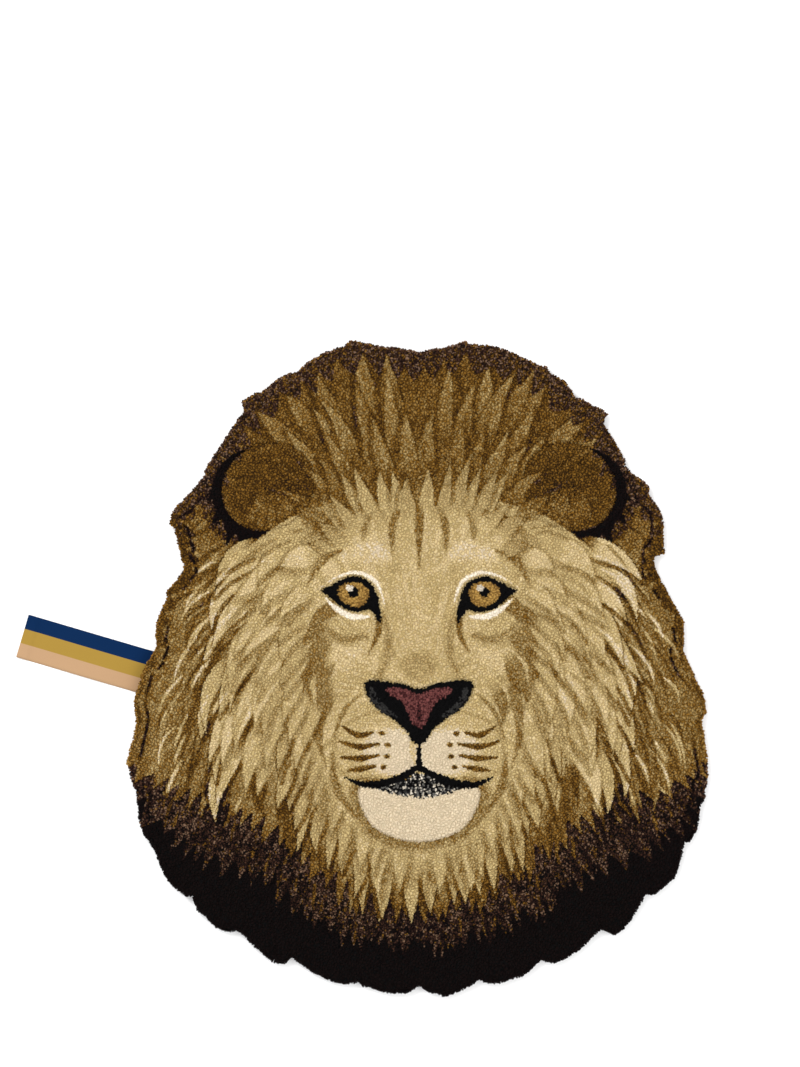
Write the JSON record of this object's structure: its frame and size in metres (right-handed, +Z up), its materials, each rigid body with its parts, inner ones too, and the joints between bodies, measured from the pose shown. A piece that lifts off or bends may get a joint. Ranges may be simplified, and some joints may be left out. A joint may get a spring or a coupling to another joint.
{
  "type": "lion shaped kids rug",
  "caption": "Flat cut-pile rug in the outline of a lion's head with a scalloped mane, and a striped woven ribbon sewn under one edge.",
  "frame": {"origin": "centre of the rug's underside, on the floor", "axes": "+Z up out of the pile, +Y towards the crown of the head, +X towards the right side of the picture"},
  "size_m": [0.7801, 0.73, 0.016],
  "materials": {
    "wool_pile": "dense cut wool pile, matt, in heathered tan, olive brown, dark brown, black and cream yarns",
    "woven_ribbon": "fine plain woven ribbon in navy, ochre and peach stripes"
  },
  "bodies": {
    "root": {"rug": "wool_pile", "ribbon_label": "woven_ribbon"}
  },
  "joints": []
}
